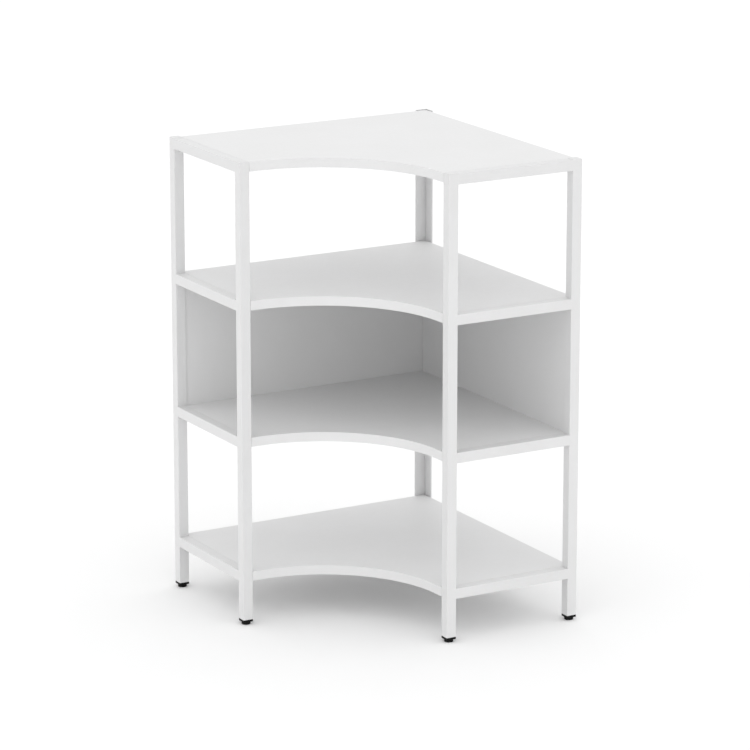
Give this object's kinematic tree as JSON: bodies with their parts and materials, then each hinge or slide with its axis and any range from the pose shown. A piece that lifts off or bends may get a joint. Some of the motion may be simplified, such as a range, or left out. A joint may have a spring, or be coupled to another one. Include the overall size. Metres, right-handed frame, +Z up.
{
  "type": "corner shelf unit",
  "caption": "Open corner shelf unit: concave-fronted shelves on square tube end frames and an angle post, with back panels behind one compartment and levelling feet.",
  "frame": {"origin": "on the floor, at the middle of the square footprint", "axes": "+Z up. The room corner is at +X +Y; the left wing runs along the +Y side, the right wing along the +X side."},
  "size_m": [0.792, 0.792, 1.25],
  "materials": {
    "painted_steel": "white powder coat, satin",
    "white_board": "white melamine faced board, fine matt texture",
    "white_edge_band": "white edge band, satin",
    "white_plastic": "white moulded plastic",
    "black_plastic": "black moulded plastic",
    "zinc_steel": "bright zinc plate"
  },
  "bodies": {
    "frame": {"post_left_back": "painted_steel", "post_left_front": "painted_steel", "post_right_front": "painted_steel", "post_right_back": "painted_steel", "post_cap_left_back": "white_plastic", "post_cap_left_front": "white_plastic", "post_cap_right_front": "white_plastic", "post_cap_right_back": "white_plastic", "end_rail_left_bottom": "painted_steel", "end_rail_left_lower": "painted_steel", "end_rail_left_upper": "painted_steel", "end_rail_left_top": "painted_steel", "end_rail_right_bottom": "painted_steel", "end_rail_right_lower": "painted_steel", "end_rail_right_upper": "painted_steel", "end_rail_right_top": "painted_steel", "shelf_bottom": "white_board", "shelf_lower": "white_board", "shelf_upper": "white_board", "shelf_top": "white_board", "edge_band_bottom": "white_edge_band", "edge_band_lower": "white_edge_band", "edge_band_upper": "white_edge_band", "edge_band_top": "white_edge_band", "back_panel_left": "white_board", "back_panel_right": "white_board", "corner_post": "painted_steel", "foot_insert_left_back": "black_plastic", "foot_insert_left_front": "black_plastic", "foot_insert_right_front": "black_plastic", "foot_insert_right_back": "black_plastic", "ledge_screw_left_bottom_back": "zinc_steel", "ledge_screw_left_bottom_front": "zinc_steel", "ledge_screw_left_lower_back": "zinc_steel", "ledge_screw_left_lower_front": "zinc_steel", "ledge_screw_left_upper_back": "zinc_steel", "ledge_screw_left_upper_front": "zinc_steel", "ledge_screw_left_top_back": "zinc_steel", "ledge_screw_left_top_front": "zinc_steel", "ledge_screw_right_bottom_back": "zinc_steel", "ledge_screw_right_bottom_front": "zinc_steel", "ledge_screw_right_lower_back": "zinc_steel", "ledge_screw_right_lower_front": "zinc_steel", "ledge_screw_right_upper_back": "zinc_steel", "ledge_screw_right_upper_front": "zinc_steel", "ledge_screw_right_top_back": "zinc_steel", "ledge_screw_right_top_front": "zinc_steel", "corner_screw_bottom": "zinc_steel", "corner_screw_lower": "zinc_steel", "corner_screw_upper": "zinc_steel", "corner_screw_top": "zinc_steel", "panel_screw_left_inner": "zinc_steel", "panel_screw_left_outer": "zinc_steel", "panel_screw_right_inner": "zinc_steel", "panel_screw_right_outer": "zinc_steel"},
    "glide_left_back": {"glide_left_back": "black_plastic"},
    "glide_left_front": {"glide_left_front": "black_plastic"},
    "glide_right_front": {"glide_right_front": "black_plastic"},
    "glide_right_back": {"glide_right_back": "black_plastic"},
    "glide_corner": {"glide_corner": "black_plastic"}
  },
  "joints": [
    {"name": "glide_left_back_height", "type": "slide", "parent": "frame", "child": "glide_left_back", "axis": [0, 0, -1], "range_m": [0, 0.01]},
    {"name": "glide_left_front_height", "type": "slide", "parent": "frame", "child": "glide_left_front", "axis": [0, 0, -1], "range_m": [0, 0.01]},
    {"name": "glide_right_front_height", "type": "slide", "parent": "frame", "child": "glide_right_front", "axis": [0, 0, -1], "range_m": [0, 0.01]},
    {"name": "glide_right_back_height", "type": "slide", "parent": "frame", "child": "glide_right_back", "axis": [0, 0, -1], "range_m": [0, 0.01]},
    {"name": "glide_corner_height", "type": "slide", "parent": "frame", "child": "glide_corner", "axis": [0, 0, -1], "range_m": [0, 0.01]}
  ]
}
